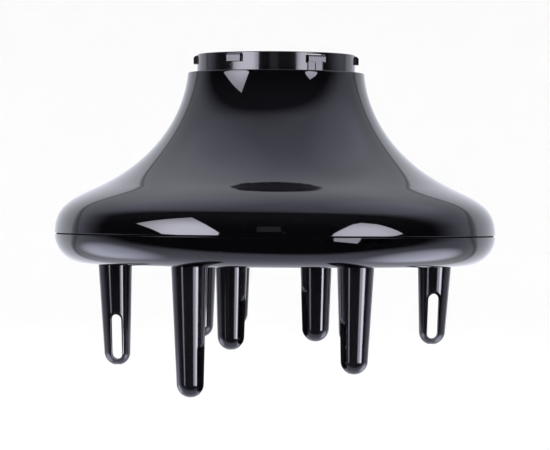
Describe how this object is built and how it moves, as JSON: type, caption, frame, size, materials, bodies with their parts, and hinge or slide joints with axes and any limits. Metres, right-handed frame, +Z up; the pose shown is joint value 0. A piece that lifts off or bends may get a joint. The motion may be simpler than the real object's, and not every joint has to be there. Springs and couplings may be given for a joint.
{
  "type": "dryer diffuser",
  "caption": "Bell-shaped hair-dryer diffuser with a swivelling snap-in collar and hollow slotted fingers that spread the air stream.",
  "frame": {"origin": "centre of the collar's open end, where the dryer's air stream enters", "axes": "+Z up the collar's axis towards the dryer; +X to the right and +Y to the back as the front latch is seen at the front right"},
  "size_m": [0.1502, 0.1502, 0.1142],
  "materials": {
    "gloss_black": "high-gloss black injection moulding",
    "satin_black": "semi-gloss black moulding",
    "screw_steel": "zinc-plated steel"
  },
  "bodies": {
    "collar": {"snap_collar": "satin_black"},
    "front_latch": {"front_latch": "satin_black"},
    "rear_latch": {"rear_latch": "satin_black"},
    "head": {"upper_bell": "gloss_black", "collar_retainer": "satin_black", "lower_bowl": "gloss_black", "air_deflector": "satin_black", "finger_spider": "satin_black", "outer_finger_1": "gloss_black", "outer_finger_2": "gloss_black", "outer_finger_3": "gloss_black", "outer_finger_4": "gloss_black", "outer_finger_5": "gloss_black", "outer_finger_6": "gloss_black", "inner_finger_1": "gloss_black", "inner_finger_2": "gloss_black", "inner_finger_3": "gloss_black", "inner_finger_4": "gloss_black", "inner_finger_5": "gloss_black", "inner_finger_6": "gloss_black", "bell_screw_1": "screw_steel", "bell_screw_2": "screw_steel", "bell_screw_3": "screw_steel", "deflector_screw_1": "screw_steel", "spider_screw_1": "screw_steel", "spider_screw_2": "screw_steel", "spider_screw_3": "screw_steel", "spider_screw_4": "screw_steel", "spider_screw_5": "screw_steel", "spider_screw_6": "screw_steel"}
  },
  "joints": [
    {"name": "head_swivel", "type": "hinge", "parent": "collar", "child": "head", "pos_m": [0, 0, -0.0062], "axis": [0, 0, 1], "continuous": true},
    {"name": "front_latch_flex", "type": "hinge", "parent": "collar", "child": "front_latch", "pos_m": [0.0129, -0.02234, -0.0084], "axis": [-0.866, -0.5, 0], "range_deg": [0, 8], "stiffness_Nm_per_rad": 0.3},
    {"name": "rear_latch_flex", "type": "hinge", "parent": "collar", "child": "rear_latch", "pos_m": [-0.0129, 0.02234, -0.0084], "axis": [0.866, 0.5, 0], "range_deg": [0, 8], "stiffness_Nm_per_rad": 0.3}
  ]
}
